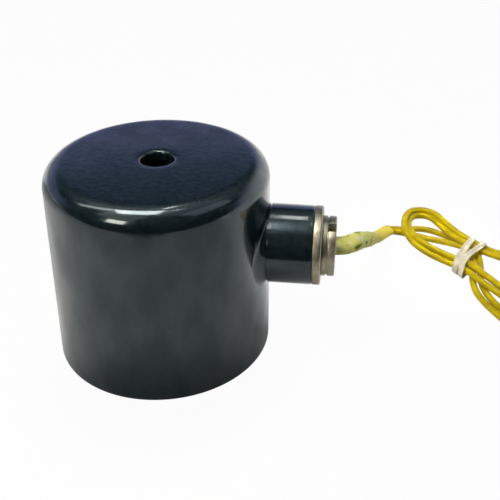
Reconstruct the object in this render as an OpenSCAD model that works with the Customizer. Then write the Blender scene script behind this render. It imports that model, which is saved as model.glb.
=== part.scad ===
// Canned solenoid valve coil with sleeved flying leads.
// Millimetres. Z runs up the core bore from the seat on the valve, X runs out along the lead boss.

/* [Can] */
// Outside diameter of the drawn steel can
can_od = 58; // [52:0.5:66]
// Height of the can from the valve seat to its top
can_h = 54.5; // [50:0.5:64]
// Thickness of the can's side wall
can_wall = 2; // [1.5:0.1:3]
// Thickness of the can's top
can_top = 2.5; // [2:0.1:4]
// Radius of the drawn edge round the top
can_edge_r = 5; // [3:0.1:7]
// Radius on the cut rim at the open end
can_rim_r = 0.5; // [0.2:0.1:0.8]
// Diameter of the hole in the top for the core tube's stud
top_hole_d = 8.5; // [6:0.1:10]
// Radius on the edge of that hole
top_hole_r = 0.8; // [0.3:0.1:1.2]

/* [Magnetic circuit] */
// Bore that slides over the valve's core tube
core_d = 16.2; // [13:0.1:18]
// Wall of the two flux sleeves
flux_wall = 1; // [0.8:0.1:1.5]
// Length of each flux sleeve
flux_len = 18; // [12:0.5:21]
// Thickness of the base plate that closes the can
base_t = 3; // [2:0.1:4]
// Thickness of the flux washer under the can's top
top_washer_t = 2; // [1:0.1:3]

/* [Coil] */
// Wall of the bobbin's tube
bobbin_wall = 1.5; // [1:0.1:2]
// Thickness of the bobbin's flanges
bobbin_flange_t = 2; // [1.5:0.1:3]
// Thickness of the potting between the coil and the can
potting_t = 5.15; // [4:0.05:7]
// Thickness of the tape wrapped on the winding
wrap_t = 0.5; // [0.3:0.1:0.8]
// How far the flanges stand over the wrap
flange_lip = 0.5; // [0.3:0.1:0.8]

/* [Lead boss] */
// Wall of the boss
boss_wall = 1.5; // [1:0.1:2]
// How far the boss stands out from the can
boss_out = 11.9; // [11:0.1:16]
// Height of the boss's axis above the valve seat
boss_z = 31.5; // [24:0.1:36]
// Rounding of the boss's outer edge, against the gland
boss_edge_r = 0.35; // [0.2:0.05:0.8]
// Hollow radius of the weld where the boss meets the can's side
weld_r = 2.5; // [1:0.1:4]
// Height of the weld's outer edge on the can's side
weld_edge = 0.1; // [0.05:0.05:0.3]

/* [Cable gland] */
// Thread diameter of the gland screw
gland_d = 16; // [14:0.1:18]
// Running clearance of the thread, on the radius
thread_gap = 0.05; // [0.03:0.01:0.1]
// How far the gland screw stands out of the bushing
gland_out = 3.6; // [3:0.1:6]
// How far the gland screw reaches into the bushing
gland_in = 6; // [5:0.1:7]
// Room left round the sleeve in the gland screw's bore, on the radius
gland_clear = 1.75; // [1.4:0.05:2.2]
// Wall of the bushing round the thread
bushing_wall = 0.95; // [0.7:0.05:2]
// Width of the screwdriver slot across its face
slot_w = 2.5; // [1.5:0.1:3]
// Depth of that slot
slot_d = 2.2; // [1:0.1:2.5]
// Angle of that slot above the level, seen from outside
slot_turn = 68; // [0:1:180]
// Width of the plain collar next to the bushing
collar_w = 1.2; // [0.8:0.1:1.6]
// Width of the groove behind that collar
groove_w = 0.4; // [0.2:0.1:0.6]
// Depth of that groove
groove_d = 0.4; // [0.2:0.1:0.6]
// Chamfer on the gland screw's outer edge
gland_chamfer = 0.4; // [0.2:0.1:0.8]
// Rounding at the mouth of the gland screw's bore
gland_mouth_r = 0.5; // [0.2:0.1:0.8]
// Thickness of the bushing's flange
flange_t = 2.3; // [1.5:0.1:3]
// Rounding of the flange's outer edge
flange_r = 0.6; // [0.2:0.1:0.9]
// Thickness of the shoulder at the bushing's inner end
shoulder_t = 1; // [0.8:0.1:1.5]
// Bore of that shoulder
shoulder_bore = 9; // [8:0.1:10]
// Thickness of the clamping washer under the gland screw
clamp_t = 1; // [0.6:0.1:1.2]
// Length of the rubber grommet
grommet_len = 4; // [3:0.1:4.5]
// Thickness of the washer that the grommet sits on
seat_t = 0.8; // [0.6:0.1:1]

/* [Leads] */
// Diameter of a lead over its insulation
wire_d = 2.1; // [1.8:0.1:2.1]
// Outside diameter of the sleeve on the leads
sleeve_od = 4.9; // [4.9:0.1:5.6]
// Wall of that sleeve
sleeve_wall = 0.25; // [0.15:0.05:0.25]
// Outside diameter of a splice barrel
splice_d = 2.8; // [2.4:0.1:2.8]
// Length of a splice barrel
splice_len = 6; // [5:0.1:6.2]
// Room for the leads between the splices and the bushing
lead_in = 1; // [0.8:0.1:1.4]
// Wall of the tubing over a splice
splice_cover_t = 0.3; // [0.2:0.05:0.3]
// Diameter of the winding's own wire at the splices
tail_d = 0.8; // [0.5:0.1:1.2]

/* [Folded leads] */
// Distance between the centres of the two folds
hank_run = 61.8; // [56:0.1:70]
// Outside radius of the fold nearest the can
hank_near_r = 10; // [8:0.1:10]
// Outside radius of the fold at the free end
hank_far_r = 14; // [10:0.1:16]
// Height of the folded leads
hank_h = 5.8; // [5:0.1:7]
// Distance of the tie from the fold nearest the can
tie_at = 21.5; // [18:0.5:30]
// Length of the bundle's section inside the tie
tie_span = 17.4; // [15:0.1:18]
// Width of the tie's two turns of tape, side by side
tie_w = 4.6; // [3:0.1:6]
// Thickness of the tie's tape
tie_t = 0.5; // [0.3:0.1:0.8]

/* [Fits] */
// Clearance between pieces that are pressed or laid together
fit_gap = 0.05; // [0.02:0.01:0.1]

/* [Hidden] */
$fn = 96;

can_r = can_od / 2;
can_in_r = can_r - can_wall;
can_in_h = can_h - can_top;
can_in_edge_r = max(can_edge_r - can_wall, 0.5);

// Radii of the pieces nested round the core bore, from the inside out
core_r = core_d / 2;
flux_r = core_r + flux_wall;
bobbin_in_r = flux_r + fit_gap;
bobbin_r = bobbin_in_r + bobbin_wall;
winding_in_r = bobbin_r + fit_gap;
potting_in_r = can_in_r - fit_gap - potting_t;
bobbin_flange_r = potting_in_r - fit_gap;
wrap_r = bobbin_flange_r - flange_lip;
winding_r = wrap_r - wrap_t - fit_gap;

// Heights of the stack inside the can
bobbin_z0 = base_t + fit_gap;
bobbin_z1 = can_in_h - top_washer_t - 2 * fit_gap;
winding_z0 = bobbin_z0 + bobbin_flange_t + fit_gap;
winding_z1 = bobbin_z1 - bobbin_flange_t - fit_gap;

// Places along the boss, as distances from the core bore's axis
sleeve_r = sleeve_od / 2;
thread_r = gland_d / 2;
boss_in_r = thread_r + bushing_wall + fit_gap;
boss_r = boss_in_r + boss_wall;
boss_end = can_r + boss_out;
bushing_end = boss_end + flange_t;
gland_end = bushing_end + gland_out;
gland_x0 = bushing_end - gland_in;
clamp_x0 = gland_x0 - clamp_t;
grommet_x0 = clamp_x0 - grommet_len;
seat_x0 = grommet_x0 - seat_t;
bushing_x0 = seat_x0 - shoulder_t;
gland_r = thread_r - thread_gap;
gland_bore_r = sleeve_r + gland_clear;

// Splices between the winding's wire and the leads
splice_r = splice_d / 2;
splice_cover_r = splice_r + fit_gap + splice_cover_t;
splice_y = splice_cover_r + fit_gap;
splice_x1 = bushing_x0 - lead_in;
splice_x0 = splice_x1 - splice_len;
tail_x0 = wrap_r + fit_gap;

// Leads: half their spacing, and the holes that pass the sleeve
wire_r = wire_d / 2;
wire_y = wire_r + fit_gap / 2;
sleeve_in_r = sleeve_r - sleeve_wall;
sleeve_hole_r = sleeve_r + fit_gap;
sleeve_x0 = seat_x0 + seat_t / 2;

// Route of the sleeve's centreline from the gland down to the surface that the coil stands on
SLEEVE_ROUTE = [
    [47, 0, 31.6], [49.2, 0.2, 31.8], [51.2, 1.5, 31.8], [52.8, 4.2, 31], [54, 8, 29],
    [55.2, 13, 26.1], [56.3, 20, 22.1], [57.3, 27, 18], [58.4, 34, 14], [59.8, 41, 10.3],
    [61.2, 47.5, 7.1], [62.7, 53, 4.7], [64.2, 57.2, 3.2]];
// Route of the two bare leads from the sleeve's end to the folded bundle
LEAD_ROUTE = [[66.1, 59.5, 1.9], [68.5, 60.5, 1.3]];
// Centre of the fold nearest the can, and the direction in which the bundle lies
HANK_AT = [76.2, 61.1];
HANK_TURN = -52.7;
// How far the tie lies off the line between the folds, and its turn away from square across it
TIE_OFF = 1.5;
TIE_TURN = 27.5;

// Profile of a round lid or cup: a rectangle with its outer top corner rounded
module cup_profile(r, h, edge) {
    square([r - edge, h]);
    square([r, h - edge]);
    translate([r - edge, h - edge]) circle(edge);
}

// What a rounded corner takes off: the corner is at the origin, the solid lies towards sx and sy
module corner_cut(r, sx, sy) {
    difference() {
        translate([sx < 0 ? -r : 0, sy < 0 ? -r : 0]) square(r);
        translate([sx * r, sy * r]) circle(r);
    }
}

// Ring standing on z0, with the given radii and height
module ring(r_in, r_out, z0, h) {
    translate([0, 0, z0]) difference() {
        cylinder(r = r_out, h = h);
        translate([0, 0, -1]) cylinder(r = r_in, h = h + 2);
    }
}

// Puts what is drawn along Z on the boss's axis, with Z along X
module on_boss() {
    translate([0, 0, boss_z]) rotate([0, 90, 0]) children();
}

module can() {
    color("#20282e") difference() {
        rotate_extrude() difference() {
            cup_profile(can_r, can_h, can_edge_r);
            translate([0, -1]) cup_profile(can_in_r, can_in_h + 1, can_in_edge_r);
            translate([0, can_in_h - 1]) square([top_hole_d / 2, can_top + 2]);
            translate([top_hole_d / 2, can_h]) corner_cut(top_hole_r, 1, -1);
            translate([can_r, 0]) corner_cut(can_rim_r, -1, 1);
        }
        on_boss() cylinder(r = boss_in_r, h = can_r + 1);
    }
}

module base_plate() {
    color("#b9bcbc") ring(flux_r + fit_gap, can_in_r - fit_gap, 0, base_t);
}

module lower_flux_sleeve() {
    color("#a9adae") ring(core_r, flux_r, 0, flux_len);
}

module upper_flux_sleeve() {
    color("#a9adae") ring(core_r, flux_r, can_in_h - fit_gap - flux_len, flux_len);
}

module top_flux_washer() {
    color("#9a9fa1") ring(flux_r + fit_gap, can_in_r - can_in_edge_r,
        can_in_h - fit_gap - top_washer_t, top_washer_t);
}

module bobbin() {
    color("#2f4f3a") {
        ring(bobbin_in_r, bobbin_r, bobbin_z0, bobbin_z1 - bobbin_z0);
        ring(bobbin_r - 0.5, bobbin_flange_r, bobbin_z0, bobbin_flange_t);
        ring(bobbin_r - 0.5, bobbin_flange_r, bobbin_z1 - bobbin_flange_t, bobbin_flange_t);
    }
}

module winding() {
    color("#b5642c") ring(winding_in_r, winding_r, winding_z0, winding_z1 - winding_z0);
}

module winding_wrap() {
    color("#d8c98a") ring(winding_r + fit_gap, wrap_r, winding_z0, winding_z1 - winding_z0);
}

module potting() {
    color("#3a3330") difference() {
        ring(potting_in_r, can_in_r - fit_gap, bobbin_z0,
            can_in_h - can_in_edge_r - bobbin_z0);
        on_boss() cylinder(r = boss_in_r, h = can_r);
    }
}

// Hollow weld round the boss: its arc leaves the boss along it and meets the can's side along that
module weld_profile() {
    arc_y = boss_r + weld_r;
    foot_r = can_r + fit_gap + weld_edge;
    arc_x = sqrt(pow(foot_r + weld_r, 2) - pow(arc_y, 2));
    difference() {
        translate([boss_in_r, 0]) square([arc_y * foot_r / (foot_r + weld_r) - boss_in_r, arc_x]);
        translate([arc_y, arc_x]) circle(weld_r);
    }
}

module lead_boss() {
    color("#20282e") difference() {
        on_boss() rotate_extrude() {
            difference() {
                translate([boss_in_r, 0]) square([boss_wall, boss_end]);
                translate([boss_r, boss_end]) corner_cut(boss_edge_r, -1, -1);
            }
            weld_profile();
        }
        translate([0, 0, -1]) cylinder(r = can_r + fit_gap, h = can_h + 2);
    }
}

module thread_bushing() {
    color("#b8b09e") on_boss() rotate_extrude() difference() {
        union() {
            translate([thread_r - 1, bushing_x0])
                square([boss_in_r - fit_gap - thread_r + 1, boss_end - bushing_x0 + 1]);
            translate([thread_r - 1, boss_end + fit_gap]) square([boss_r - thread_r + 1, flange_t - fit_gap]);
            translate([shoulder_bore / 2, bushing_x0])
                square([thread_r - shoulder_bore / 2, shoulder_t - fit_gap]);
        }
        translate([shoulder_bore / 2, bushing_x0 + shoulder_t - fit_gap])
            square([thread_r - shoulder_bore / 2, bushing_end]);
        translate([boss_r, bushing_end]) corner_cut(flange_r, -1, -1);
    }
}

module seat_washer() {
    color("#c2a25a") on_boss() ring(sleeve_hole_r, thread_r - thread_gap, seat_x0, seat_t - fit_gap);
}

module seal_grommet() {
    color("#26272a") on_boss() ring(sleeve_hole_r, thread_r - thread_gap, grommet_x0, grommet_len - fit_gap);
}

module clamp_washer() {
    color("#c2a25a") on_boss() ring(gland_bore_r, gland_r, clamp_x0, clamp_t - fit_gap);
}

module gland_screw() {
    color("#c3b9a2") on_boss() difference() {
        rotate_extrude() difference() {
            translate([gland_bore_r, gland_x0]) square([gland_r - gland_bore_r, gland_end - gland_x0]);
            translate([gland_r - groove_d, bushing_end + collar_w]) square([groove_d + 1, groove_w]);
            translate([gland_r, gland_end]) rotate(45)
                square(gland_chamfer * sqrt(2), center = true);
            translate([gland_bore_r, gland_end]) corner_cut(gland_mouth_r, 1, -1);
        }
        rotate(90 - slot_turn) translate([-gland_d, -slot_w / 2, gland_end - slot_d])
            cube([2 * gland_d, slot_w, slot_d + 1]);
    }
}

// Barrel that joins a lead to the winding's wire
module splice(side) {
    color("#c9c7c0") translate([0, side * splice_y, 0]) on_boss() translate([0, 0, splice_x0])
        cylinder(r = splice_r, h = splice_len);
}

module splice_cover(side) {
    color("#7a2f22") translate([0, side * splice_y, 0]) on_boss()
        ring(splice_r + fit_gap, splice_cover_r, splice_x0, splice_len);
}

module coil_tail(side) {
    color("#b5642c") translate([0, side * splice_y, 0]) on_boss() translate([0, 0, tail_x0])
        cylinder(r = tail_d / 2, h = splice_x0 - fit_gap - tail_x0);
}

module splice_a() { splice(-1); }

module splice_b() { splice(1); }

module splice_cover_a() { splice_cover(-1); }

module splice_cover_b() { splice_cover(1); }

module coil_tail_a() { coil_tail(-1); }

module coil_tail_b() { coil_tail(1); }

function unit(v) = v / norm(v);
function heading(path, i) = unit(path[min(i + 1, len(path) - 1)] - path[max(i - 1, 0)]);
function level_side(t) = unit(cross([0, 0, 1], t));

// Points of a circle square to the path at point i
function path_ring(path, i, r, sides) =
    let (t = heading(path, i), s = level_side(t), w = cross(t, s))
    [for (k = [0 : sides - 1]) path[i] + s * r * cos(360 * k / sides) + w * r * sin(360 * k / sides)];

// The path moved sideways, level, by one distance per point
function beside(path, off) = [for (i = [0 : len(path) - 1]) path[i] + off[i] * level_side(heading(path, i))];

// Triangles of a skin between rings that follow each other
function skin(rings, sides, start, flip) = [
    for (i = [0 : rings - 2], k = [0 : sides - 1])
        let (a = start + i * sides + k, b = start + i * sides + (k + 1) % sides, c = a + sides, d = b + sides)
        each flip ? [[a, c, b], [b, c, d]] : [[a, b, c], [b, d, c]]];

// Solid tube along a path
module tube(path, r, sides) {
    n = len(path);
    polyhedron(
        [for (i = [0 : n - 1]) each path_ring(path, i, r, sides)],
        concat(skin(n, sides, 0, true), [[for (k = [0 : sides - 1]) k]],
            [[for (k = [sides - 1 : -1 : 0]) (n - 1) * sides + k]]));
}

// Hollow tube along a path
module sleeve_tube(path, r_in, r_out, sides) {
    n = len(path);
    m = n * sides;
    ends = [for (e = [0, n - 1], k = [0 : sides - 1])
        let (a = e * sides + k, b = e * sides + (k + 1) % sides)
        each e == 0 ? [[a, b, m + a], [b, m + b, m + a]] : [[a, m + a, b], [b, m + a, m + b]]];
    polyhedron(
        concat([for (i = [0 : n - 1]) each path_ring(path, i, r_out, sides)],
            [for (i = [0 : n - 1]) each path_ring(path, i, r_in, sides)]),
        concat(skin(n, sides, 0, true), skin(n, sides, m, false), ends));
}

inner_run = [[sleeve_x0, 0, boss_z], [(sleeve_x0 + gland_end) / 2, 0, boss_z]];
sleeve_path = concat(inner_run, SLEEVE_ROUTE);
// The leads leave the splices wider apart than they lie in the sleeve
lead_start = [
    for (x = [splice_x1 + fit_gap, splice_x1 + lead_in / 2, seat_x0 - 2 * fit_gap, sleeve_x0 - fit_gap])
        [x, 0, boss_z]];
lead_path = concat(lead_start, inner_run, SLEEVE_ROUTE, LEAD_ROUTE);
lead_spread = [for (i = [0 : len(lead_path) - 1]) i < 2 ? splice_y : wire_y];

module lead_sleeve() {
    color("#c9c46a") sleeve_tube(sleeve_path, sleeve_in_r, sleeve_r, 12);
}

module lead_wire(side) {
    color("#d8bf12") tube(beside(lead_path, side * lead_spread), wire_r, 8);
}

module lead_wire_a() { lead_wire(-1); }

module lead_wire_b() { lead_wire(1); }

// Outline of the folded leads, drawn from the centre of the fold nearest the can
module hank_outline() {
    turn = acos((hank_near_r - hank_far_r) / hank_run);
    near = (hank_near_r - fit_gap) * [cos(turn), sin(turn)];
    far = [hank_run, 0] + (hank_far_r - fit_gap) * [cos(turn), sin(turn)];
    circle(hank_near_r);
    polygon([[near.x, -near.y], [far.x, -far.y], far, near]);
    translate([hank_run, 0]) circle(hank_far_r);
}

module on_hank() {
    translate(HANK_AT) rotate(HANK_TURN) children();
}

module at_tie() {
    translate([tie_at, TIE_OFF, hank_h / 2]) rotate(TIE_TURN) children();
}

module lead_hank() {
    color("#cdb414") on_hank() difference() {
        linear_extrude(hank_h) hank_outline();
        tie_cut();
    }
}

// Room that the tie takes out of the bundle
module tie_cut() {
    at_tie() difference() {
        cube([tie_w + 2 * fit_gap, 4 * hank_far_r, hank_h + 2], center = true);
        cube([tie_w + 3, tie_span - 2 * fit_gap, hank_h - 2 * tie_t - 2 * fit_gap], center = true);
    }
}

module hank_tie() {
    color("#ece8dc") on_hank() at_tie() difference() {
        cube([tie_w, tie_span + 2 * tie_t, hank_h], center = true);
        cube([tie_w + 1, tie_span, hank_h - 2 * tie_t], center = true);
    }
}

can();
base_plate();
lower_flux_sleeve();
upper_flux_sleeve();
top_flux_washer();
bobbin();
winding();
winding_wrap();
potting();
lead_boss();
thread_bushing();
seat_washer();
seal_grommet();
clamp_washer();
gland_screw();
splice_a();
splice_b();
splice_cover_a();
splice_cover_b();
coil_tail_a();
coil_tail_b();
lead_sleeve();
lead_wire_a();
lead_wire_b();
lead_hank();
hank_tie();
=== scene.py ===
"""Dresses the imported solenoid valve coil: enamelled can, cable gland, sleeved leads and the photo table."""

import math

import bmesh
import bpy
import numpy as np
from mathutils import Matrix, Vector


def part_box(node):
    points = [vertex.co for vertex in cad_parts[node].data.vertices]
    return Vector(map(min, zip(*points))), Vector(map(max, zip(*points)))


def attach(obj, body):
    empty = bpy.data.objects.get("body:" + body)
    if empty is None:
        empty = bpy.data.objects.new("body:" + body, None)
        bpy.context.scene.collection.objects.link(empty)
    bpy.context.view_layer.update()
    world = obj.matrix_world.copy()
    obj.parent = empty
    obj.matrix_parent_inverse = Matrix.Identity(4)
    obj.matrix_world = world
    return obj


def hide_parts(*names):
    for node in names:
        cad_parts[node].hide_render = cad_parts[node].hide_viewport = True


bl_info = {
    "name": "Solenoid valve coil",
    "version": (1, 0, 0),
    "blender": (4, 5, 0),
    "location": "3D View > Sidebar > Coil",
    "description": "Dresses a canned solenoid coil with sleeved flying leads",
    "category": "Object",
}

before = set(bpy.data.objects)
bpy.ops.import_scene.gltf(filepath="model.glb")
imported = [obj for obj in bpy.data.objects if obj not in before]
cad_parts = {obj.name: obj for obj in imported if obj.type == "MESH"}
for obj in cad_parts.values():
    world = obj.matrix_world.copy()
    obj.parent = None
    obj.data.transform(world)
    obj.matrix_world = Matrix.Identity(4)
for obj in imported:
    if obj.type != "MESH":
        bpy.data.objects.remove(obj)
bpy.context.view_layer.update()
MM = 0.001

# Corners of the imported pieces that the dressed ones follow
CAN_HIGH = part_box("can")[1]
BOSS_LOW, BOSS_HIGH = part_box("lead_boss")
BUSH_LOW, BUSH_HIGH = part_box("thread_bushing")
GLAND_LOW, GLAND_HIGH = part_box("gland_screw")
BOSS_Z = (BOSS_LOW.z + BOSS_HIGH.z) / 2
# Clearance between pieces that are pressed together
FIT_GAP = 0.05 * MM
# Depth of the gland's thread
THREAD_DEPTH = 0.75 * MM
# Edges that turn by more than this stay sharp
SHARP_ANGLE = math.radians(32)

# Centreline of the sleeve, from inside the gland to its cut end, in millimetres
SLEEVE_ROUTE = [
    (31.8, 0, 31.5), (39.3, 0, 31.5), (47, 0, 31.6), (49.2, 0.2, 31.8), (51.2, 1.5, 31.8),
    (52.8, 4.2, 31), (54, 8, 29), (55.2, 13, 26.1), (56.3, 20, 22.1), (57.3, 27, 18), (58.4, 34, 14),
    (59.8, 41, 10.3), (61.2, 47.5, 7.1), (62.7, 53, 4.7), (64.2, 57.2, 3.2),
]
# Half the spacing of the leads inside the sleeve
LEAD_SPREAD = 1.08
# Start of the two leads at the splices, before the sleeve: place, then half their spacing
LEAD_START = [(29.45, 0, 31.5, 1.8), (29.9, 0, 31.5, 1.8), (31.3, 0, 31.5, LEAD_SPREAD)]
# The leads between the sleeve's end and the folded bundle
LEAD_BRIDGE = [(66.1, 59.5, 1.9), (68.5, 60.5, 1.3)]
# Where the bundle lies: near the middle of the fold next to the can, and the direction of its run
BUNDLE_AT = (77.3, 62.9)
BUNDLE_TURN = math.radians(-58)
# The pair of leads through the bundle: along the run, across it, height, half their spacing, roll in degrees
BUNDLE_ROUTE = [
    (-1.6, -6.8, 1.08, 1.4, 0), (-0.3, -4.8, 1.05, 2.0, 0), (1.1, -2.9, 1.05, 2.6, 0),
    (3.3, -0.9, 1.05, 2.8, 0), (6.4, 1.3, 1.05, 2.3, 0), (10.0, 3.6, 1.05, 1.7, 0),
    (13.4, 5.2, 1.25, 1.3, 0), (17, 5.7, 1.5, 1.08, 0), (20.5, 5.0, 1.5, 1.08, 0),
    (24, 3.2, 1.5, 1.08, 0), (28, 0.2, 1.3, 1.2, 0), (32.5, -3.4, 1.05, 1.3, 0),
    (37.5, -6.1, 1.05, 1.4, 0), (43, -7.5, 1.05, 1.4, 0), (52, -8.3, 1.05, 1.1, 0),
    (59, -8.4, 1.05, 1.06, 0), (64, -8.0, 1.05, 1.06, 0), (68.6, -6.1, 1.05, 1.06, 0),
    (72.1, -2.6, 1.05, 1.06, 0), (74, 2.0, 1.05, 1.06, 0), (73.8, 7.0, 1.05, 1.06, 0),
    (71.4, 11.2, 1.05, 1.06, 0), (67.4, 14.1, 1.05, 1.06, 0), (62, 15.3, 1.05, 1.06, 0),
    (52, 15.6, 1.05, 1.06, 0), (42, 15.8, 1.05, 1.06, 0), (34, 15.4, 1.1, 1.06, 0),
    (28.8, 14, 1.35, 1.06, 0), (25.2, 11.7, 1.8, 1.06, 0), (22.4, 9.0, 2.5, 1.06, 0),
    (19, 6.9, 3.2, 1.06, 5), (14.6, 5.7, 3.4, 1.06, 10), (10.6, 4.9, 3.5, 1.06, 15),
    (6.0, 4.9, 3.55, 1.06, 20), (2.0, 5.1, 3.6, 1.06, 25), (-1.8, 5.3, 3.7, 1.06, 30),
    (-4.6, 4.4, 3.75, 1.06, 36), (-6.3, 2.5, 3.8, 1.06, 40), (-6.9, 0.3, 3.9, 1.06, 46),
    (-6.3, -2.1, 3.95, 1.06, 54), (-4.5, -4.5, 4.05, 1.06, 52), (-1.7, -6.8, 4.1, 1.06, 40),
    (1.5, -8.5, 4.1, 1.06, 22), (5.2, -9.7, 4.0, 1.06, 2), (9, -10.1, 3.8, 1.06, -18),
    (13, -9.4, 3.5, 1.06, -34), (17.3, -7.9, 3.15, 1.06, -40), (22.2, -5.9, 3.1, 1.08, -36),
    (27.6, -3.7, 3.2, 1.3, -20), (33, -3.3, 3.25, 1.7, 0), (37.1, -3.1, 3.25, 1.7, 0),
    (41, -2.6, 3.0, 1.5, 0), (46, -1.6, 2.2, 1.2, 0), (51, -0.6, 1.3, 1.08, 0),
    (56, 0.2, 1.05, 1.06, 0), (61, 0.9, 1.05, 1.06, 0),
]
# The tie's tape, wound twice round the bundle: along the run, across it, height
TIE_ROUTE = [
    (22.6, 1, 0.45), (19.6, 5.4, 0.45), (17.0, 8.4, 0.7), (16.1, 9.0, 1.5), (16.0, 8.8, 3.2),
    (16.5, 7.4, 4.6), (17.6, 5.5, 4.8), (20.8, 0.2, 4.8), (24.3, -4.8, 4.75), (25.9, -7.0, 3.6),
    (26.2, -7.5, 1.7), (25.6, -6.6, 0.7), (23.6, -2, 0.45), (21.2, 4.2, 0.45), (19.5, 9, 0.6),
    (18.9, 10.2, 1.4), (19.1, 10.2, 3.0), (20.0, 9.2, 4.4), (20.9, 8.0, 4.75), (22.7, 3.6, 4.95),
    (24.4, -1.1, 5.05), (26.8, -5.0, 4.95), (28.4, -6.7, 3.8), (28.7, -7.2, 1.6), (28.2, -6.4, 0.7),
    (26.6, -3, 0.45), (25.2, 0.6, 0.45),
]
# Steps along a lead, the sleeve and the tape, in millimetres
LEAD_STEP, SLEEVE_STEP, TAPE_STEP = 0.8, 0.4, 0.35
# Lamps: place, width and depth, brightness, the point that each is aimed at, colour, beam in degrees
LAMPS = {
    "strip_lamp": ((-0.0375, -0.04, 0.25), (0.096, 0.075), 14.0, (-0.0375, -0.04, 0), "#fffaf2", 180),
    "left_lamp": ((-0.16, -0.02, 0.25), (0.14, 0.035), 4.5, (-0.16, -0.02, 0), "#fffaf2", 180),
    "right_lamp": ((0.27, 0.1, 2.0), (0.18, 0.3), 3.5, (0.27, 0.1, 0), "#fffaf2", 180),
    "back_lamp": ((-0.08, 0.78, 2.0), (0.08, 0.5), 12.0, (-0.08, 0.78, 0), "#fffaf2", 180),
    "ceiling_panel": ((-0.05, 0.0, 0.75), (0.9, 0.7), 0.25, (-0.05, 0, 0), "#f4f8ff", 180),
    "front_lamp": ((-0.226, -0.414, 0.26), (0.15, 0.15), 11.0, (0, -0.028, 0.052), "#fff4e4", 180),
    "side_panel": ((0.37, -0.1, 0.51), (0.42, 0.24), 0.7, (0, 0, 0.05), "#f8faff", 180),
    "haze_lamp": ((-0.18, -0.26, 0.43), (0.3, 0.25), 0.7, (0, -0.028, 0.052), "#fff8ee", 180),
    "lead_lamp": ((0.076, 0.054, 0.3), (0.05, 0.05), 0.8, (0.076, 0.054, 0), "#fffaf2", 12),
}


def to_linear(hex_colour):
    """The linear colour of an sRGB hex value."""
    channels = [int(hex_colour[i : i + 2], 16) / 255 for i in (1, 3, 5)]
    return [c / 12.92 if c <= 0.04045 else ((c + 0.055) / 1.055) ** 2.4 for c in channels]


def shade(colour):
    """An sRGB hex or linear colour with its alpha, as a shader's socket takes it."""
    channels = to_linear(colour) if isinstance(colour, str) else colour[:3]
    return (*channels, 1.0)


def cells(size_mm):
    """The pattern scale whose cells are this many millimetres wide."""
    return 1 / (size_mm * MM)


def size_prop(name, text, default):
    """A length that a user may change, in metres."""
    return bpy.props.FloatProperty(
        name=name, description=text, default=default, min=0, precision=5, unit="LENGTH", subtype="DISTANCE"
    )


def colour_prop(name, text, hex_colour):
    """A colour that a user may change."""
    return bpy.props.FloatVectorProperty(
        name=name, description=text, default=to_linear(hex_colour), min=0, max=1, size=3, subtype="COLOR"
    )


class CoilSettings(bpy.types.PropertyGroup):
    """Sizes and colours of the coil's pieces."""

    can_radius: size_prop("Can radius", "Outside radius of the can", CAN_HIGH.y)
    can_height: size_prop("Can height", "Height of the can", CAN_HIGH.z)
    can_wall: size_prop("Can wall", "Thickness of the can's side", 2 * MM)
    can_top: size_prop("Can top", "Thickness of the can's top", 2.5 * MM)
    edge_radius: size_prop("Edge radius", "Drawn edge round the can's top", 5 * MM)
    hole_radius: size_prop("Hole radius", "Hole in the can's top", 4.25 * MM)
    hole_round: size_prop("Hole rounding", "Rounding of that hole's edge", 0.8 * MM)
    boss_radius: size_prop("Boss radius", "Outside radius of the lead boss", (BOSS_HIGH.z - BOSS_LOW.z) / 2)
    boss_bore: size_prop("Boss bore", "Inside radius of the lead boss", 9 * MM)
    boss_end: size_prop("Boss end", "Distance of the boss's face from the can's axis", BOSS_HIGH.x)
    weld_width: size_prop("Weld width", "Width of the weld where the boss is tangent to the can", 1.1 * MM)
    thread_radius: size_prop("Thread radius", "Outside radius of the gland's thread", GLAND_HIGH.y)
    thread_pitch: size_prop("Thread pitch", "Pitch of the gland's thread", 1.5 * MM)
    slot_width: size_prop("Slot width", "Screwdriver slot of the gland", 2.5 * MM)
    slot_depth: size_prop("Slot depth", "Depth of that slot", 2.2 * MM)
    slot_turn: bpy.props.FloatProperty(
        name="Slot turn", description="Angle of that slot", default=math.radians(68), subtype="ANGLE"
    )
    wire_diameter: size_prop("Wire diameter", "Diameter of a lead", 2.1 * MM)
    sleeve_radius: size_prop("Sleeve radius", "Outside radius of the sleeve", 2.45 * MM)
    sleeve_wall: size_prop("Sleeve wall", "Wall of the sleeve", 0.25 * MM)
    tape_width: size_prop("Tape width", "Width of the tie's tape", 2.2 * MM)
    enamel: colour_prop("Enamel", "Stove enamel of the can", "#142024")
    nickel: colour_prop("Nickel", "Plating of the gland", "#b0aa97")
    insulation: colour_prop("Insulation", "Insulation of the leads", "#ceb804")
    sleeving: colour_prop("Sleeving", "Clear sleeve that has yellowed", "#f0ee82")


class StageSettings(bpy.types.PropertyGroup):
    """Table, light and camera."""

    floor: colour_prop("Table", "White photo table", "#c8c8c8")
    camera_at: bpy.props.FloatVectorProperty(
        name="Camera", description="Place of the camera", default=(0.04711, -0.18296, 0.14644), size=3,
        subtype="TRANSLATION",
    )
    azimuth: bpy.props.FloatProperty(
        name="Azimuth", description="Turn of the view", default=math.radians(4.18), subtype="ANGLE"
    )
    elevation: bpy.props.FloatProperty(
        name="Elevation", description="Height of the view", default=math.radians(26.76), subtype="ANGLE"
    )
    roll: bpy.props.FloatProperty(
        name="Roll", description="Roll of the view", default=math.radians(1.32), subtype="ANGLE"
    )


def fill(tree, node, links):
    """Fills a shader node's inputs, each with a socket or a value."""
    for name, value in links.items():
        if isinstance(value, bpy.types.NodeSocket):
            tree.links.new(value, node.inputs[name])
        else:
            node.inputs[name].default_value = value


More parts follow.
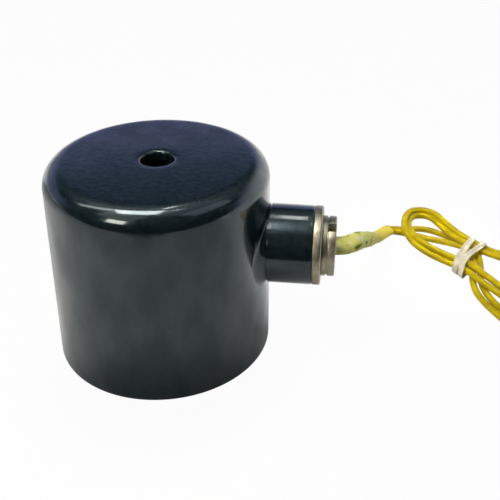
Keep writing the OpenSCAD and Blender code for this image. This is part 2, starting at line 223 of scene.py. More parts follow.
def add(tree, kind, links=None, **settings):
    """Adds a shader node: settings go on the node, links fill its inputs."""
    node = tree.nodes.new(kind)
    for name, value in settings.items():
        setattr(node, name, value)
    fill(tree, node, links or {})
    return node


def noise(tree, place, size_mm, detail):
    """A noise pattern with cells of this many millimetres."""
    node = add(tree, "ShaderNodeTexNoise", {"Vector": place, "Scale": cells(size_mm), "Detail": detail})
    return node.outputs["Fac"]


def stretched(tree, place, scale, rotation=(0, 0, 0)):
    """The place for a pattern that is turned and drawn out."""
    node = add(tree, "ShaderNodeMapping", {"Vector": place, "Rotation": rotation, "Scale": scale})
    return node.outputs["Vector"]


def ranged(tree, value, low, high, start=0.0, end=1.0, **settings):
    """A value that goes from start to end while another goes from low to high."""
    links = {"Value": value, "From Min": low, "From Max": high, "To Min": start, "To Max": end}
    return add(tree, "ShaderNodeMapRange", links, **settings).outputs["Result"]


def ramp(tree, share, stops):
    """A colour by a share from 0 to 1: each stop is a place and a colour."""
    node = add(tree, "ShaderNodeValToRGB", {"Fac": share})
    elements = node.color_ramp.elements
    while len(elements) < len(stops):
        elements.new(1)
    for element, (place, colour) in zip(elements, stops):
        element.position = place
        element.color = shade(colour)
    return node.outputs["Color"]


def mix_colours(tree, share, first, second):
    """A mix of two colours. A mix node's colour sockets go by number, because their names repeat."""
    return add(tree, "ShaderNodeMix", {"Factor": share, 6: first, 7: second}, data_type="RGBA").outputs[2]


def bump(tree, height, strength, depth_mm):
    """The normal of a surface that is roughened by a height pattern."""
    links = {"Height": height, "Strength": strength, "Distance": depth_mm * MM}
    return add(tree, "ShaderNodeBump", links).outputs["Normal"]


def seen_direct(tree):
    """1 for what is seen straight or through the sleeve, else 0."""
    rays = add(tree, "ShaderNodeLightPath").outputs
    links = {0: rays["Is Camera Ray"], 1: rays["Is Transmission Ray"]}
    return add(tree, "ShaderNodeMath", links, operation="MAXIMUM").outputs[0]


def new_material(name):
    """A material with its node tree, its shader and the place on the piece in metres."""
    material = bpy.data.materials.new(name)
    material.use_nodes = True
    tree = material.node_tree
    place = add(tree, "ShaderNodeTexCoord").outputs["Object"]
    return material, tree, tree.nodes["Principled BSDF"], place


def enamel_material(colour):
    # Black stove enamel on drawn steel: deep gloss with wiped patches over cloudy blue-black pigment, a few
    # specks of dust and a faint orange peel
    material, tree, shader, place = new_material("Black stove enamel")
    cloud = noise(tree, place, 1.4, 5.0)
    pigment = ramp(tree, cloud, [(0.35, "#081013"), (0.65, colour)])
    dust = add(tree, "ShaderNodeTexVoronoi", {"Vector": place, "Scale": cells(3.2), "Randomness": 1.0})
    clean = ranged(tree, dust.outputs["Distance"], 0.03, 0.05)
    film = noise(tree, place, 14, 4.0)
    wiped = noise(tree, stretched(tree, place, (1, 1, 0.45), (0, 0.6, 0.4)), 6, 6.0)
    peel = bump(tree, noise(tree, place, 1.6, 2.0), 0.06, 0.2)
    fill(tree, shader, {
        "Base Color": mix_colours(tree, clean, shade("#3c4448"), pigment),
        "Roughness": ranged(tree, film, 0.3, 0.7, 0.16, 0.24),
        "IOR": 1.5,
        "Specular Tint": shade("#c8eefa"),
        "Coat Weight": ranged(tree, wiped, 0.35, 0.65, 0.5, 1.0),
        "Coat Roughness": 0.07,
        "Normal": peel,
        "Coat Normal": peel,
    })
    return material


def nickel_material(colour):
    # Bright nickel on turned brass: warm silver, fine turning rings and dull patches
    material, tree, shader, place = new_material("Nickel plate on turned brass")
    rings = noise(tree, stretched(tree, place, (1.0, 0.06, 0.06)), 0.12, 3.0)
    patches = noise(tree, place, 2.2, 5.0)
    fill(tree, shader, {
        "Base Color": ramp(tree, patches, [(0.3, "#958c76"), (0.55, colour)]),
        "Metallic": 1.0,
        "Roughness": ranged(tree, patches, 0.35, 0.7, 0.32, 0.48),
        "Normal": bump(tree, rings, 0.12, 0.1),
    })
    return material


def speckled_material(name, dark, light, grain_mm, rough, metal=0.0, ior=1.5, height=0.15, stretch=(1, 1, 1)):
    """A plain stock material: two tones in grains of a given size, with a matching bump."""
    material, tree, shader, place = new_material(name)
    grain = noise(tree, stretched(tree, place, stretch), grain_mm, 4.0)
    fill(tree, shader, {
        "Base Color": ramp(tree, grain, [(0.35, dark), (0.65, light)]),
        "Metallic": metal,
        "Roughness": ranged(tree, grain, 0.3, 0.7, rough * 0.8, rough * 1.2),
        "IOR": ior,
        "Normal": bump(tree, grain, height, 0.2),
    })
    return material


def insulation_material(colour):
    # Yellow PVC insulation: soft sheen, slightly cloudy colour, faint drawing marks along the wire
    material, tree, shader, place = new_material("Yellow PVC insulation")
    cloud = noise(tree, place, 4.5, 3.0)
    fill(tree, shader, {
        "Base Color": ramp(tree, cloud, [(0.3, "#b09a02"), (0.6, colour)]),
        "Roughness": 0.45,
        "IOR": 1.53,
        "Specular IOR Level": 0.15,
        "Normal": bump(tree, noise(tree, place, 0.5, 2.0), 0.03, 0.1),
    })
    return material


def sleeving_material(colour):
    # Clear PVC sleeving, yellowed: milky tube with greenish patches and painted highlights as pale flecks,
    # golden at its cut end
    material, tree, shader, place = new_material("Clear PVC sleeving")
    patches = noise(tree, place, 2.2, 4.0)
    # Painted highlights: the palest stop paints flecks of highlight over the tube
    tint_and_painted_glints = ramp(tree, patches, [(0.36, "#627e20"), (0.45, colour), (0.56, colour), (0.68, "#fafadc")])
    far = add(tree, "ShaderNodeSeparateXYZ", {"Vector": place})
    end = ranged(tree, far.outputs["X"], 0.0555, 0.061)
    fill(tree, shader, {
        "Base Color": mix_colours(tree, end, tint_and_painted_glints, shade("#ecd848")),
        "Roughness": 0.55,
        "IOR": 1.53,
        "Specular IOR Level": 0.08,
        "Transmission Weight": 0.12,
        "Normal": bump(tree, noise(tree, place, 1.3, 3.0), 0.2, 0.4),
    })
    return material


def new_object(name, data):
    """A new object in the scene."""
    made = bpy.data.objects.new(name, data)
    bpy.context.scene.collection.objects.link(made)
    return made


def skin(name, rings, material, wrap=False, caps=False):
    """A mesh between rings of points that follow each other; wrap joins the last ring to the first."""
    count = len(rings[0])
    points = [tuple(p) for ring in rings for p in ring]
    faces = []
    for i in range(len(rings) if wrap else len(rings) - 1):
        a, b = i * count, ((i + 1) % len(rings)) * count
        faces += [(a + k, a + (k + 1) % count, b + (k + 1) % count, b + k) for k in range(count)]
    if caps:
        faces.append(tuple(reversed(range(count))))
        faces.append(tuple(range((len(rings) - 1) * count, len(rings) * count)))
    mesh = bpy.data.meshes.new(name)
    mesh.from_pydata(points, [], faces)
    mesh.materials.append(material)
    mesh.shade_smooth()
    return new_object(name, mesh)


def arc(centre, radius, start, end, steps):
    """Points of an arc in a profile, angles in degrees."""
    angles = [math.radians(start + (end - start) * i / steps) for i in range(steps + 1)]
    return [(centre[0] + radius * math.cos(a), centre[1] + radius * math.sin(a)) for a in angles]


def run(start, end, steps):
    """Points of a straight stretch of a profile, without its last point."""
    return [tuple(a + (b - a) * i / steps for a, b in zip(start, end)) for i in range(steps)]


def turned(name, profile, material, sides, along_boss=False):
    """A piece turned from a closed profile of radius and height, on the can's axis or the boss's."""
    rings = []
    for radius, height in profile:
        angles = [2 * math.pi * k / sides for k in range(sides)]
        if along_boss:
            rings.append([(height, -radius * math.sin(a), BOSS_Z + radius * math.cos(a)) for a in angles])
        else:
            rings.append([(radius * math.cos(a), radius * math.sin(a), height) for a in angles])
    return skin(name, rings, material, wrap=True)


def face_out(piece):
    """Turns a piece's faces outwards and keeps its sharp edges sharp."""
    shape = bmesh.new()
    shape.from_mesh(piece.data)
    bmesh.ops.recalc_face_normals(shape, faces=shape.faces)
    shape.to_mesh(piece.data)
    shape.free()
    piece.data.set_sharp_from_angle(angle=SHARP_ANGLE)
    return piece


def keep_modifiers(piece):
    """Puts what a piece's modifiers make into its mesh."""
    graph = bpy.context.evaluated_depsgraph_get()
    made = bpy.data.meshes.new_from_object(piece.evaluated_get(graph))
    piece.modifiers.clear()
    piece.data = made


def cut_away(piece, cutter):
    """Takes a cutter's shape out of a piece, smooths what is left and removes the cutter."""
    cut = piece.modifiers.new("Cut", "BOOLEAN")
    cut.operation = "DIFFERENCE"
    cut.solver = "EXACT"
    cut.object = cutter
    keep_modifiers(piece)
    bpy.data.objects.remove(cutter)
    piece.data.shade_smooth()
    piece.data.set_sharp_from_angle(angle=SHARP_ANGLE)


def blend(a, b, t, low, high):
    """The value at t on a line that is a at low and b at high."""
    return a + (b - a) * (t - low) / (high - low)


def flow(rows, step):
    """A smooth curve through rows of numbers, at even steps along its first three, in millimetres."""
    rows = np.array(rows, float)
    pads = np.vstack([2 * rows[0] - rows[1], rows, 2 * rows[-1] - rows[-2]])
    dense, dots = [], 24
    for i in range(1, len(pads) - 2):
        p = pads[i - 1 : i + 3]
        knots = np.concatenate([[0], np.cumsum(np.linalg.norm(np.diff(p[:, :3], axis=0), axis=1) ** 0.5)])
        for t in np.linspace(knots[1], knots[2], dots, endpoint=False):
            first = [blend(p[j], p[j + 1], t, knots[j], knots[j + 1]) for j in range(3)]
            second = [blend(first[j], first[j + 1], t, knots[j], knots[j + 2]) for j in range(2)]
            dense.append(blend(second[0], second[1], t, knots[1], knots[2]))
    dense = np.array(dense + [rows[-1]])
    far = np.concatenate([[0], np.cumsum(np.linalg.norm(np.diff(dense[:, :3], axis=0), axis=1))])
    marks = np.linspace(0, far[-1], max(2, int(round(far[-1] / step)) + 1))
    return np.column_stack([np.interp(marks, far, dense[:, k]) for k in range(dense.shape[1])])


def headings(path):
    """Unit directions along a path."""
    ahead = np.gradient(path[:, :3], axis=0)
    return ahead / np.linalg.norm(ahead, axis=1)[:, None]


def sideways(ahead):
    """Level unit directions square to those of a path."""
    side = np.cross((0, 0, 1), ahead)
    return side / np.linalg.norm(side, axis=1)[:, None]


def on_bundle(rows):
    """Rows given along and across the bundle, in the part's own frame."""
    rows = np.array(rows, float)
    c, s = math.cos(BUNDLE_TURN), math.sin(BUNDLE_TURN)
    out = rows.copy()
    out[:, 0] = BUNDLE_AT[0] + rows[:, 0] * c - rows[:, 1] * s
    out[:, 1] = BUNDLE_AT[1] + rows[:, 0] * s + rows[:, 1] * c
    return out


def lead_paths():
    """Centrelines of the two leads, in metres."""
    start = [(*row, 0) for row in LEAD_START]
    straight = [(*p, LEAD_SPREAD, 0) for p in SLEEVE_ROUTE + LEAD_BRIDGE]
    pair = flow(np.vstack([start, straight, on_bundle(BUNDLE_ROUTE)]), LEAD_STEP)
    ahead = headings(pair)
    side = sideways(ahead)
    roll = np.radians(pair[:, 4:5])
    apart = pair[:, 3:4] * (side * np.cos(roll) - np.cross(ahead, side) * np.sin(roll))
    paths = [(pair[:, :3] + sign * apart) * MM for sign in (-1, 1)]
    for path in paths:
        # A lead lies on the table and never in it
        path[:, 2] = np.maximum(path[:, 2], settings().wire_diameter / 2)
    return paths


def wires(name, paths, radius, roundness, material):
    """Round wires along paths, as one curve with an open line for each."""
    curve = bpy.data.curves.new(name, "CURVE")
    curve.dimensions = "3D"
    curve.bevel_depth = radius
    curve.bevel_resolution = roundness
    curve.use_fill_caps = True
    for path in paths:
        line = curve.splines.new("POLY")
        line.points.add(len(path) - 1)
        line.points.foreach_set("co", np.column_stack([path, np.ones(len(path))]).ravel())
    curve.materials.append(material)
    return new_object(name, curve)


def settings():
    """The coil's settings in this scene."""
    return bpy.context.scene.coil


class COIL_OT_can(bpy.types.Operator):
    """Makes the drawn can and the lead boss, both enamelled"""

    bl_idname = "coil.can"
    bl_label = "Enamelled can"

    def execute(self, context):
        s = settings()
        enamel = enamel_material(s.enamel)
        self.make_can(s, enamel)
        self.make_boss(s, enamel)
        return {"FINISHED"}

    def make_can(self, s, enamel):
        """The drawn can: a cup on its open end, with a hole in its top and one in its side."""
        r, h, wall, edge = s.can_radius, s.can_height, s.can_wall, s.edge_radius
        hole, lip, rim = s.hole_radius, s.hole_round, 0.5 * MM
        inside, under = r - wall, h - s.can_top
        profile = [(inside, 0)]
        profile += arc((r - rim, rim), rim, -90, 0, 6)[:-1]
        profile += run((r, rim), (r, h - edge), 56)
        profile += arc((r - edge, h - edge), edge, 0, 90, 28)[:-1]
        profile += run((r - edge, h), (hole + lip, h), 12)
        profile += arc((hole + lip, h - lip), lip, 90, 180, 10)
        profile += run((hole, under), (r - edge, under), 4)
        profile += arc((r - edge, under - edge + wall), edge - wall, 90, 0, 8)[:-1]
        profile += run((inside, under - edge + wall), (inside, 0), 48)
        can = face_out(turned("enamelled_can", profile, enamel, 256))
        # A plug on the boss's axis, from inside the can to outside it, cuts the hole in the side
        start, stop, core = 20 * MM, 36 * MM, 0.1 * MM
        plug = [(s.boss_bore, start), (s.boss_bore, stop), (core, stop), (core, start)]
        cut_away(can, face_out(turned("boss_bore", plug, enamel, 96, along_boss=True)))
        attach(can, "coil_body")
        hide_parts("can")

    def make_boss(self, s, enamel):
        """The boss: a tube with a rounded end, and a groove between it and its hollow weld on the can."""
        r, outer, bore, end = s.can_radius, s.boss_radius, s.boss_bore, s.boss_end
        rounding, mouth, sides = 0.35 * MM, 0.3 * MM, 192
        groove, groove_depth = 0.4 * MM, 0.35 * MM
        # The weld's slope on the boss, its least height there, and how much of its height it gains in width
        slope, least, soft, flare = math.radians(32), 0.15 * MM, 0.2 * MM, 0.6
        # How far the weld's edges lie inside the boss and inside the can
        tuck, sink = 0.03 * MM, 0.04 * MM
        weld_steps = 9
        angles = [2 * math.pi * k / sides for k in range(sides)]

        def can_side(y):
            """How far out the can's side is, at a distance off the boss's axis."""
            return math.sqrt(r * r - y * y)

        def seam(across):
            """How far out the weld meets the boss, at a share of the boss's radius off its axis."""
            low = r - can_side(outer * across)
            return can_side(outer * across) + (low + least + math.hypot(low - least, soft)) / 2

        def around(radius, reach):
            """A ring on the boss: reach gives how far out a point is, from its share across."""
            return [(reach(-math.sin(a)), -radius * math.sin(a), BOSS_Z + radius * math.cos(a))
                    for a in angles]

        rings = [around(bore, lambda c: can_side(bore * c))]
        rows = [(bore, end - mouth), (bore + mouth, end)]
        rows += arc((outer - rounding, end - rounding), rounding, 90, 0, 5)
        rings += [around(radius, lambda c, x=x: x) for radius, x in rows]
        tube_steps = 8
        for step in range(1, tube_steps + 1):
            rings.append(around(outer, lambda c, t=step / tube_steps:
                                blend(end - rounding, seam(c) + groove, t, 0, 1)))
        for inset, share in ((groove_depth, 0.8), (groove_depth, 0.2), (tuck, 0.0)):
            rings.append(around(outer - inset, lambda c, t=share: seam(c) + groove * t))
        for step in range(1, weld_steps + 1):
            t = blend(slope, math.pi / 2, step, 0, weld_steps)
            ring = []
            for a in angles:
                rise = seam(-math.sin(a)) - can_side(outer * math.sin(a))
                spread = (s.weld_width + flare * rise) * (1 - math.cos(t) / math.cos(slope))
                lift = rise * (1 - math.sin(t)) / (1 - math.sin(slope)) - sink * (step == weld_steps)
                radius = outer - tuck + spread
                y = -radius * math.sin(a)
                ring.append((can_side(y) + lift, y, BOSS_Z + radius * math.cos(a)))
            rings.append(ring)
        boss = face_out(skin("enamelled_boss", rings, enamel, wrap=True))
        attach(boss, "coil_body")
        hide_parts("lead_boss")


class COIL_OT_gland(bpy.types.Operator):
    """Makes the nickel-plated bushing and the slotted gland screw with its thread"""

    bl_idname = "coil.gland"
    bl_label = "Cable gland"

    def execute(self, context):
        s = settings()
        nickel = nickel_material(s.nickel)
        self.make_bushing(s, nickel)
        self.make_screw(s, nickel)
        self.make_thread(s, nickel)
        return {"FINISHED"}

    def make_bushing(self, s, nickel):
        """The bushing, whose flange shows between the boss and the screw."""
        x0, x1, flange = BUSH_LOW.x, BUSH_HIGH.x, BUSH_HIGH.y
        face, bore, body = s.boss_end + FIT_GAP, s.thread_radius + FIT_GAP, s.boss_bore - FIT_GAP
        edge, back_edge, chamfer = 0.6 * MM, 0.25 * MM, 0.3 * MM
        # The seal sits on a shoulder at the inner end
        shoulder, shoulder_bore = x0 + 0.95 * MM, 4.5 * MM
        profile = [(shoulder_bore, x0), (body, x0), (body, face), (flange - back_edge, face)]
        profile += arc((flange - back_edge, face + back_edge), back_edge, -90, 0, 4)[1:]
        profile += arc((flange - edge, x1 - edge), edge, 0, 90, 8)
        profile += [(bore + chamfer, x1), (bore, x1 - chamfer), (bore, shoulder), (shoulder_bore, shoulder)]
        bushing = face_out(turned("bushing_flange", profile, nickel, 144, along_boss=True))
        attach(bushing, "coil_body")
        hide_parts("thread_bushing")

    def make_screw(self, s, nickel):
        """The screw without its thread: shank, collar, groove and slotted head."""
        x1, g0, g1, thread = BUSH_HIGH.x, GLAND_LOW.x, GLAND_HIGH.x, s.thread_radius
        root, hole, mouth = thread - THREAD_DEPTH, 4.2 * MM, 0.5 * MM
        collar, groove, depth = x1 + 1.2 * MM, 0.4 * MM, 0.4 * MM
        head_edge, edge = 0.45 * MM, 0.12 * MM
        # The shank widens to the collar just inside the bushing
        shank_end, collar_start = x1 - 0.25 * MM, x1 - 0.1 * MM
        profile = [(hole, g0), (root, g0), (root, shank_end), (thread - edge, collar_start)]
        profile += arc((thread - edge, x1 + edge), edge, -60, 0, 3)[1:]
        profile += arc((thread - edge, collar - edge), edge, 0, 90, 3)
        profile += [(thread - depth, collar), (thread - depth, collar + groove)]
        profile += arc((thread - edge, collar + groove + edge), edge, -90, 0, 3)
        profile += arc((thread - head_edge, g1 - head_edge), head_edge, 0, 90, 6)
        profile += arc((hole + mouth, g1 - mouth), mouth, 90, 180, 5)
        screw = face_out(turned("gland_head", profile, nickel, 144, along_boss=True))
        # The slot's cutter is longer than the head is wide and stands out past its face
        half, low, high, length = s.slot_width / 2, g1 - s.slot_depth, g1 + 1 * MM, 20 * MM
        corners = [(-half, low), (half, low), (half, high), (-half, high)]
        turn, axis = Matrix.Rotation(-s.slot_turn, 3, "X"), Vector((0, 0, BOSS_Z))
        rings = []
        for reach in (-length, length):
            rings.append([tuple(turn @ Vector((x, reach, w)) + axis) for w, x in corners])
        cut_away(screw, face_out(skin("slot_cutter", rings, nickel, caps=True)))
        ease = screw.modifiers.new("Edges", "BEVEL")
        ease.width, ease.segments, ease.limit_method = 0.08 * MM, 2, "ANGLE"
        ease.angle_limit = math.radians(50)
        keep_modifiers(screw)
        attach(screw, "gland")
        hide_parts("gland_screw")

    def make_thread(self, s, nickel):
        """The thread on the screw's shank, running out at both ends."""
        pitch, sides, rows, run_out = s.thread_pitch, 96, 60, 6
        start, stop = GLAND_LOW.x + 0.2 * MM, BUSH_HIGH.x - 0.3 * MM
        # The thread's root lies just inside the shank and its crest just inside the bushing's bore
        thread, root, inset = s.thread_radius, s.thread_radius - THREAD_DEPTH, 0.02 * MM
        rings = []
        for i in range(rows + 1):
            x = start + (stop - start) * i / rows
            ring = []
            for k in range(sides):
                a = 2 * math.pi * k / sides
                wave = abs(((x / pitch - k / sides) % 1) * 2 - 1)
                height = min(1, max(0, wave * 1.5 - 0.25)) * min(1, i / run_out, (rows - i) / run_out)
                radius = root - inset + (thread - root - inset) * height
                ring.append((x, -radius * math.sin(a), BOSS_Z + radius * math.cos(a)))
            rings.append(ring)
        thread_piece = skin("gland_thread", rings, nickel)
        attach(thread_piece, "gland")


class COIL_OT_inside(bpy.types.Operator):
    """Gives the pieces inside the can and the gland their materials"""

    bl_idname = "coil.inside"
    bl_label = "Inner pieces"

    def execute(self, context):
        # Zinc plate on steel: pale blue-grey with broad dull patches
        zinc = speckled_material("Zinc plate on steel", "#9aa1a3", "#b8bebe", 3.0, 0.36, metal=1.0)
        # Bare drawn steel: grey, with scratches that run up the bore
        steel = speckled_material("Bare drawn steel", "#7d8284", "#a5aaab", 0.5, 0.32, metal=1.0,
                                  stretch=(1, 1, 0.05))
        # Glass-filled nylon: dull green with pale fibres at the surface
        nylon = speckled_material("Green glass-filled nylon", "#27442f", "#3d6148", 0.7, 0.5, ior=1.53)
        # Enamelled copper wire: warm red-brown rings, one for each turn, drawn coarser than the wire
        copper = speckled_material("Enamelled copper wire", "#7c3a17", "#c17a3f", 0.6, 0.3, metal=1.0,
                                   height=0.5, stretch=(0.05, 0.05, 1))
        # Polyester tape: thin, pale amber, with overlaps that show as bands
        tape = speckled_material("Polyester tape", "#b99a45", "#d8c184", 2.4, 0.35, ior=1.57,
                                 stretch=(0.2, 0.2, 1))
        # Cast epoxy: near black, smooth, with a few bubbles
        resin = speckled_material("Black cast epoxy", "#15130f", "#2a2622", 1.2, 0.3, ior=1.55)
        # Stamped brass: yellow metal with rolling marks
        brass = speckled_material("Stamped brass", "#a57c33", "#cfaa5e", 0.4, 0.3, metal=1.0,
                                  stretch=(1, 0.1, 1))
        # Nitrile rubber: matt black with a dusty bloom
        rubber = speckled_material("Black nitrile rubber", "#121314", "#26272a", 0.35, 0.62, ior=1.52)
        # Tinned copper: soft bright grey
        tinned = speckled_material("Tinned copper", "#a9a59b", "#d3d0c8", 0.4, 0.28, metal=1.0)
        # Shrunk polyolefin tube: dull brown-red
        tube = speckled_material("Shrunk polyolefin tube", "#5c2118", "#7f3526", 0.6, 0.48, ior=1.5)
        finishes = {
            "base_plate": zinc, "top_flux_washer": zinc, "lower_flux_sleeve": steel,
            "upper_flux_sleeve": steel, "bobbin": nylon, "winding": copper, "winding_wrap": tape,
            "potting": resin, "seat_washer": brass, "clamp_washer": brass, "seal_grommet": rubber,
            "splice_a": tinned, "splice_b": tinned, "splice_cover_a": tube, "splice_cover_b": tube,
            "coil_tail_a": copper, "coil_tail_b": copper,
        }
        for name, material in finishes.items():
            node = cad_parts[name]
            node.data.materials.clear()
            node.data.materials.append(material)
        for name in ("base_plate", "lower_flux_sleeve", "bobbin"):
            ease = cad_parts[name].modifiers.new("Edges", "BEVEL")
            ease.width, ease.segments, ease.limit_method = 0.2 * MM, 2, "ANGLE"
        return {"FINISHED"}


class COIL_OT_leads(bpy.types.Operator):
    """Lays the two leads through the sleeve and the bundle, with their tinned ends, and ties the bundle"""

    bl_idname = "coil.leads"
    bl_label = "Leads"

    def execute(self, context):
        s = settings()
        yellow = insulation_material(s.insulation)
        tinned = bpy.data.materials["Tinned copper"]
        # Coated paper tape: white, with a cream cast of painted light bounced from the yellow leads, and soft
        # creases
        paper = speckled_material("White coated paper tape", "#c2baa0", "#d8d1ba", 2.5, 0.5, ior=1.45,
                                  height=0.1)
        sleeve = self.make_sleeve(s)
        tie = self.make_tie(s, paper)
        leads = []
        for letter, path in zip("ab", lead_paths()):
            lead = wires("lead_" + letter, [path], s.wire_diameter / 2, 5, yellow)
            tips = self.make_tip(letter, path, tinned)
            leads.append((letter, lead, path, tips))
        for letter, lead, path, tips in leads:
            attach(lead, "coil_body")
            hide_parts("lead_wire_" + letter)
            if letter == "b":
                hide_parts("lead_hank")
        return {"FINISHED"}

    def make_sleeve(self, s):
        """The sleeve: a thin tube with dents along it and a torn end. Sizes are in millimetres."""
        path = flow(SLEEVE_ROUTE, SLEEVE_STEP)
        ahead = headings(path)
        side = sideways(ahead)
        rise = np.cross(ahead, side)
        sides, rows = 28, len(path)
        outer, wall = s.sleeve_radius / MM, s.sleeve_wall / MM
        angles = np.linspace(0, 2 * math.pi, sides, endpoint=False)
        # The torn edge: waves round it, and two tongues that reach further
        tear = 0.5 * np.sin(2 * angles + 0.6) + 0.3 * np.sin(5 * angles + 2) - 0.9
        lip = 1.7
        tear += 1.9 * np.exp(-(((angles - 4.4) / 0.3) ** 2)) + 0.9 * np.exp(-(((angles - lip) / 0.25) ** 2))
        # Where the dents and the flattening start along the route, and the lengths over which they grow
        dents_from, dents_over, flat_from, flat_over = 16, 4, 22, 55
        # Steps that the torn end takes up
        torn = 11

        def ring(i, depth):
            """One ring of the tube's outside, or of its inside at a depth under it."""
            far = i * SLEEVE_STEP
            dented = min(1, max(0, far - dents_from) / dents_over)
            # Towards its end the sleeve lies flat on the pair of leads, with a lip that stands up
            flat = min(1, max(0, far - flat_from) / flat_over)
            reach = (max(0, i - rows + torn + 1) / torn) ** 2
            points = []
            for k, a in enumerate(angles):
                dent = 0.05 * math.sin(0.3 * far + 2 * a) + 0.03 * math.sin(0.5 * far - 3 * a + 1)
                radius = outer - depth + dent * dented
                lift = 0.55 * math.exp(-(((a - lip) / 0.4) ** 2)) * reach
                up = (radius - flat) * math.sin(a) + lift
                p = path[i, :3] + radius * math.cos(a) * side[i] + up * rise[i]
                points.append(tuple((p + ahead[i] * tear[k] * reach) * MM))
            return points

        rings = [ring(i, 0) for i in range(rows)] + [ring(i, wall) for i in reversed(range(rows))]
        sleeve = face_out(skin("clear_sleeve", rings, sleeving_material(s.sleeving), wrap=True))
        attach(sleeve, "coil_body")
        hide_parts("lead_sleeve")
        return sleeve

    def make_tie(self, s, paper):
        """The tie: a tape with a wire core, wound twice round the bundle."""
        path = flow(on_bundle(TIE_ROUTE), TAPE_STEP)
        ahead = headings(path)
        line = np.array((math.cos(BUNDLE_TURN), math.sin(BUNDLE_TURN), 0))
        half = s.tape_width / MM / 2
        # Section of the tape, across it and through it: flat, and raised over the core
        shape = [(-half, 0.1), (-0.42, 0.12), (-0.2, 0.2), (0, 0.23), (0.2, 0.2), (0.42, 0.12), (half, 0.1),
                 (half, -0.1), (0.4, -0.12), (-0.4, -0.12), (-half, -0.1)]
        rings = []
        for p, t in zip(path, ahead):
            across = line - t * np.dot(line, t)
            across /= np.linalg.norm(across)
            up = np.cross(t, across)
            rings.append([tuple((p + across * w + up * n) * MM) for w, n in shape])
        tie = face_out(skin("tie_tape", rings, paper, caps=True))
        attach(tie, "coil_body")
        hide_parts("hank_tie")
        return tie

    def make_tip(self, letter, path, tinned):
        """The stripped end of a lead: seven tinned strands twisted together. Sizes are in millimetres."""
        ahead = (path[-1] - path[-4]) / np.linalg.norm(path[-1] - path[-4])
        side = np.cross((0, 0, 1), ahead)
        rise = np.cross(ahead, side)
        # Six strands round a straight one, from just inside the insulation to their cut ends
        round_core, lay, twist = 6, 0.44, 0.9
        inside, length, dots = 0.5, 7, 24
        strands = []
        for strand in range(round_core + 1):
            out = 0 if strand == round_core else lay
            line = []
            for i in range(dots + 1):
                far = -inside + length * i / dots
                a = math.radians(60 * strand) + far * twist
                line.append(path[-1] + MM * (far * ahead + out * (math.cos(a) * side + math.sin(a) * rise)))
            strands.append(line)
        tip = wires("tip_" + letter, strands, 0.22 * MM, 3, tinned)
        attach(tip, "coil_body")
        return tip


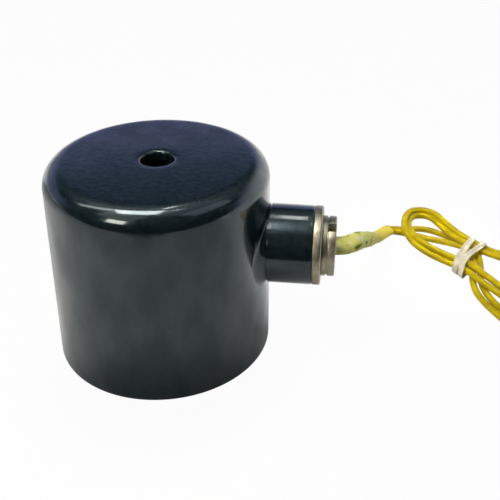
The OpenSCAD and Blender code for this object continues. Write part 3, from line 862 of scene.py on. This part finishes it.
class COIL_OT_stage(bpy.types.Operator):
    """Sets the photo table, the lamps, the room and the camera"""

    bl_idname = "coil.stage"
    bl_label = "Stage"

    def execute(self, context):
        stage = context.scene.coil_stage
        self.make_table(stage)
        for name, row in LAMPS.items():
            self.lamp(name, *row)
        self.make_room(context.scene)
        self.make_camera(context.scene, stage)
        context.scene.view_settings.view_transform = "Standard"
        return {"FINISHED"}

    def make_table(self, stage):
        """The photo table, cut off in front of the part and clear from below."""
        # White photo table: white to the eye and in reflections, with a faint shadow that is partly painted
        # shade
        table, tree, shader, place = new_material("White photo table")
        # The table's own glow lights nothing, so it isn't drawn on as a lamp
        table.cycles.emission_sampling = "NONE"
        # Painted shade: the table's colour is darkened close round the can's foot, where the can's shadow
        # falls
        away = add(tree, "ShaderNodeVectorMath", {0: place, 1: (0.004, -0.016, 0)}, operation="DISTANCE")
        free = ranged(tree, away.outputs["Value"], 0.015, 0.044, interpolation_type="SMOOTHSTEP")
        painted_foot_shade = mix_colours(tree, free, shade("#303234"), shade(stage.floor))
        fill(tree, shader, {"Base Color": painted_foot_shade, "Roughness": 0.9})
        # Painted light: gloss sees the table glow brighter behind the can and to its right, a painted
        # reflection on the can's side
        toward_back_right = add(tree, "ShaderNodeVectorMath", {0: place, 1: (0.5, 0.85, 0)}, operation="DOT_PRODUCT")
        pale = ranged(tree, toward_back_right.outputs["Value"], 0.018, 0.044, 0.15, 0.9)
        rays = add(tree, "ShaderNodeLightPath")
        mirrored = add(tree, "ShaderNodeMath", {0: rays.outputs["Is Glossy Ray"], 1: pale},
                       operation="MULTIPLY")
        share = add(tree, "ShaderNodeMath", {0: seen_direct(tree), 1: 0.97, 2: mirrored.outputs[0]},
                    operation="MULTIPLY_ADD")
        glow = add(tree, "ShaderNodeEmission", {"Color": (1, 1, 1, 1), "Strength": 1.0})
        mixed = add(tree, "ShaderNodeMixShader", {0: share.outputs[0], 1: shader.outputs[0],
                                                  2: glow.outputs[0]})
        below = add(tree, "ShaderNodeNewGeometry")
        clear = add(tree, "ShaderNodeBsdfTransparent")
        both = add(tree, "ShaderNodeMixShader", {0: below.outputs["Backfacing"], 1: mixed.outputs[0],
                                                 2: clear.outputs[0]})
        fill(tree, tree.nodes["Material Output"], {"Surface": both.outputs[0]})
        mesh = bpy.data.meshes.new("photo_table")
        front, far = -0.11, 6
        corners = [(-far, front, 0), (far, front, 0), (far, far, 0), (-far, far, 0)]
        mesh.from_pydata(corners, [], [(0, 1, 2, 3)])
        mesh.materials.append(table)
        floor = new_object("photo_table", mesh)
        # Just under the part, so that the two never share a face
        floor.location.z = -0.1 * MM

    def make_room(self, scene):
        """The world: what the enamel and the nickel mirror."""
        world = bpy.data.worlds.new("Room")
        scene.world = world
        world.use_nodes = True
        tree = world.node_tree
        place = add(tree, "ShaderNodeTexCoord").outputs["Generated"]
        along = add(tree, "ShaderNodeSeparateXYZ", {"Vector": place})
        height = ranged(tree, along.outputs["Z"], -1, 1)
        # Behind the table a pale blue wall, in front of it a dark room under a light ceiling
        wall = ramp(tree, height, [
            (0.5, "#f2f4f6"), (0.55, "#a4a6bc"), (0.69, "#8c90c8"), (0.703, "#8488bb"), (0.7145, "#7381a1"),
            (0.7215, "#4a5c7a"), (0.727, "#384a5c"), (0.7385, "#1e2a32"), (0.79, "#2a3844"),
            (0.86, "#6c7478"), (0.94, "#8a9092"),
        ])
        dark = ramp(tree, height, [
            (0.3, "#34383c"), (0.66, "#383c40"), (0.74, "#54595c"), (0.9, "#54595c"), (0.96, "#7c8082"),
        ])
        behind = ranged(tree, along.outputs["Y"], -0.15, 0.15)
        # A wide bright window behind on the right, where the leads lie
        turned_to = add(tree, "ShaderNodeVectorMath", {0: place, 1: (0.7, 0.7, 0)}, operation="DOT_PRODUCT")
        window = ranged(tree, turned_to.outputs["Value"], 0.68, 0.95, interpolation_type="SMOOTHSTEP")
        lit = mix_colours(tree, window, wall, shade("#fafcff"))
        sky = mix_colours(tree, behind, dark, lit)
        seen = mix_colours(tree, seen_direct(tree), sky, (1, 1, 1, 1))
        fill(tree, tree.nodes["Background"], {"Color": seen, "Strength": 1.0})

    def make_camera(self, scene, stage):
        """The camera, with the focal length and framing of the photo for a square image."""
        lens = bpy.data.cameras.new("photo_camera")
        lens.sensor_width = 36
        lens.lens = 58.317
        lens.shift_x, lens.shift_y = -0.07675, -0.16462
        lens.clip_start, lens.clip_end = 0.01, 50
        camera = new_object("photo_camera", lens)
        aim = Matrix.Rotation(stage.azimuth, 4, "Z")
        tilt = Matrix.Rotation(math.pi / 2 - stage.elevation, 4, "X")
        roll = Matrix.Rotation(stage.roll, 4, "Z")
        camera.matrix_world = Matrix.Translation(stage.camera_at) @ (aim @ tilt @ roll)
        scene.camera = camera

    def lamp(self, name, place, size, radiance, target, hex_colour, spread):
        """A soft rectangular lamp of a given brightness, aimed at a point."""
        light = bpy.data.lights.new(name, "AREA")
        light.shape = "RECTANGLE"
        light.size, light.size_y = size
        light.spread = math.radians(spread)
        light.energy = radiance * math.pi * size[0] * size[1]
        light.color = to_linear(hex_colour)
        lamp = new_object(name, light)
        lamp.location = place
        lamp.rotation_euler = (Vector(target) - Vector(place)).to_track_quat("-Z", "Y").to_euler()


class COIL_PT_panel(bpy.types.Panel):
    """Lists the steps that dress the coil"""

    bl_idname = "COIL_PT_panel"
    bl_label = "Solenoid coil"
    bl_space_type = "VIEW_3D"
    bl_region_type = "UI"
    bl_category = "Coil"

    def draw(self, context):
        for step in STEPS:
            self.layout.operator(step.bl_idname)


STEPS = (COIL_OT_can, COIL_OT_gland, COIL_OT_inside, COIL_OT_leads, COIL_OT_stage)
CLASSES = (CoilSettings, StageSettings, *STEPS, COIL_PT_panel)


def register():
    for cls in CLASSES:
        bpy.utils.register_class(cls)
    bpy.types.Scene.coil = bpy.props.PointerProperty(type=CoilSettings)
    bpy.types.Scene.coil_stage = bpy.props.PointerProperty(type=StageSettings)


def unregister():
    del bpy.types.Scene.coil_stage
    del bpy.types.Scene.coil
    for cls in reversed(CLASSES):
        bpy.utils.unregister_class(cls)


def main():
    register()
    bpy.ops.coil.stage()
    bpy.ops.coil.can()
    bpy.ops.coil.gland()
    bpy.ops.coil.inside()
    bpy.ops.coil.leads()
    bpy.context.view_layer.update()


if __name__ == "__main__":
    main()
